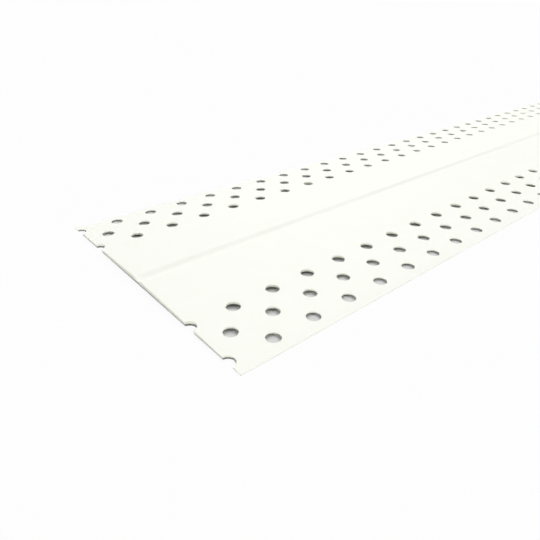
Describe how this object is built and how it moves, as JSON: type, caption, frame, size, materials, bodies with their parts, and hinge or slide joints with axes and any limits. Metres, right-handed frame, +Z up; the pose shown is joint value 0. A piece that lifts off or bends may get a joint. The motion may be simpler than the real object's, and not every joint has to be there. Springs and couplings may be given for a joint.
{
  "type": "drywall corner bead",
  "caption": "Flat stick of flexible vinyl drywall corner bead: tapered flanges with staggered key holes, joined along the middle by a grooved living hinge.",
  "frame": {"origin": "on the floor, under the middle of the strip", "axes": "+X along the stock, from the end with the half holes to the other, +Y across it, +Z up, out of the face with the hinge groove"},
  "size_m": [1.2192, 0.1142, 0.0023],
  "materials": {
    "white_vinyl": "extruded rigid vinyl, white with a trace of cream, satin"
  },
  "bodies": {
    "root": {"corner_bead": "white_vinyl"}
  },
  "joints": []
}
